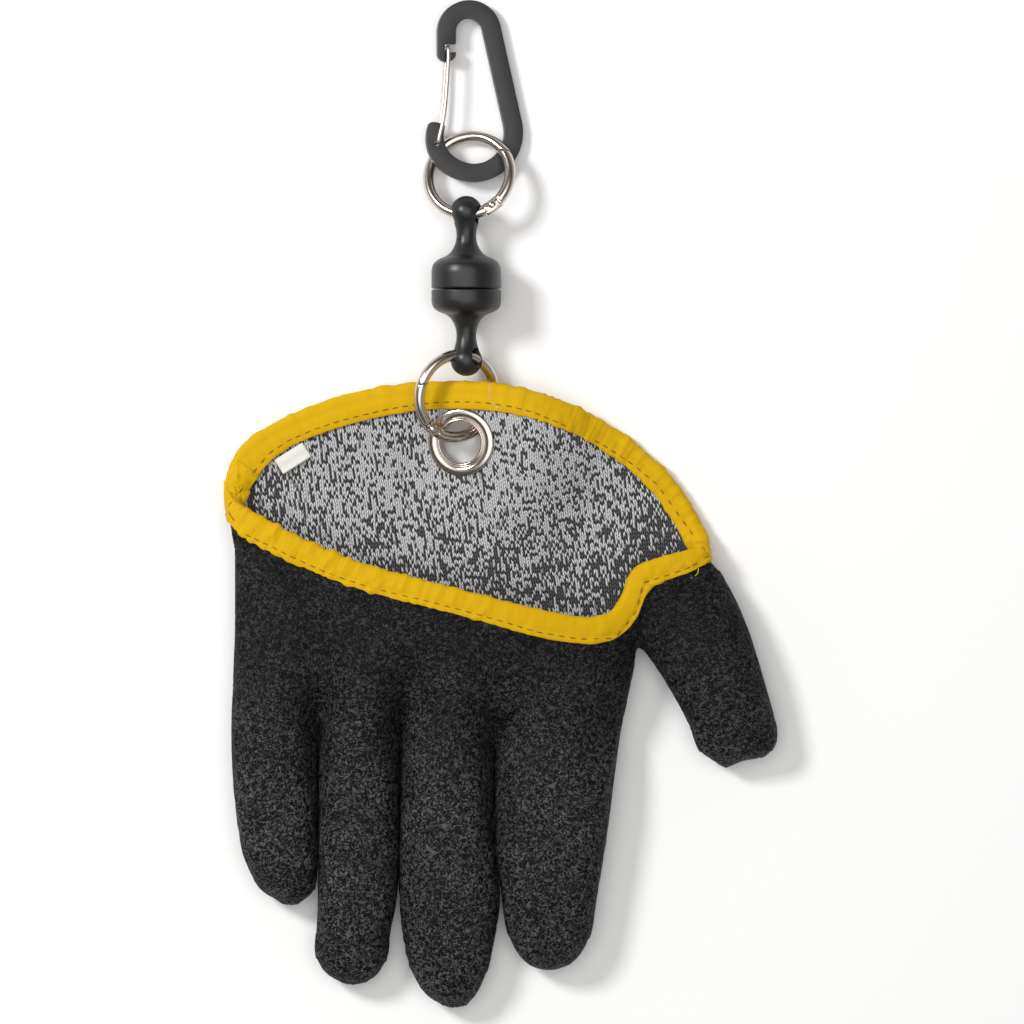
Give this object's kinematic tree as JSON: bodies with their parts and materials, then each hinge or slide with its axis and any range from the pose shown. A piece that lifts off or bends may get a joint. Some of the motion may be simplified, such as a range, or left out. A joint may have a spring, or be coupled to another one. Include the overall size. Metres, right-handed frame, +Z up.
{
  "type": "fishing glove",
  "caption": "Coated knit glove lying flat with its cuff open, a metal eyelet in the cuff, and a magnetic release on spring rings with a wire-gate clip.",
  "frame": {"origin": "centre of the bounding box in plan, on the surface the glove lies on", "axes": "+Y from the middle fingertip towards the clip, +X towards the thumb, +Z up from the surface"},
  "size_m": [0.1616, 0.2908, 0.0258],
  "materials": {
    "latex": "matt crinkled",
    "knit": "knitted",
    "tape": "soft matt",
    "label": "smooth woven",
    "nickel": "polished nickel",
    "black_plastic": "satin",
    "black_anodised": "black satin"
  },
  "bodies": {
    "glove_side": {"latex_coating": "latex", "knit_liner": "knit", "cuff_binding": "tape", "size_label": "label", "eyelet_flange": "nickel", "eyelet_washer": "nickel", "lower_ring_body": "nickel", "release_lower": "black_plastic"},
    "lower_gate": {"lower_ring_gate": "nickel"},
    "clip_side": {"release_upper": "black_plastic", "upper_ring_body": "nickel", "clip_body": "black_anodised"},
    "upper_gate": {"upper_ring_gate": "nickel"},
    "wire_gate": {"clip_gate": "nickel"}
  },
  "joints": [
    {"name": "release_pull", "type": "slide", "parent": "glove_side", "child": "clip_side", "axis": [0, 1, 0], "range_m": [0, 0.03]},
    {"name": "lower_ring_gate_hinge", "type": "hinge", "parent": "glove_side", "child": "lower_gate", "pos_m": [-0.01912, 0.02144, 0.01092], "axis": [-0.4478, 0.1695, -0.878], "range_deg": [0, 18], "stiffness_Nm_per_rad": 0.01, "springref_deg": -11.46},
    {"name": "upper_ring_gate_hinge", "type": "hinge", "parent": "clip_side", "child": "upper_gate", "pos_m": [-0.00148, 0.08585, 0.01146], "axis": [-0.2122, 0.3228, 0.9224], "range_deg": [0, 18], "stiffness_Nm_per_rad": 0.01, "springref_deg": -11.46},
    {"name": "clip_gate_hinge", "type": "hinge", "parent": "clip_side", "child": "wire_gate", "pos_m": [-0.01768, 0.10406, 0.00602], "axis": [-0.1723, -0.0295, -0.9846], "range_deg": [0, 22], "stiffness_Nm_per_rad": 0.01, "springref_deg": -11.46}
  ]
}
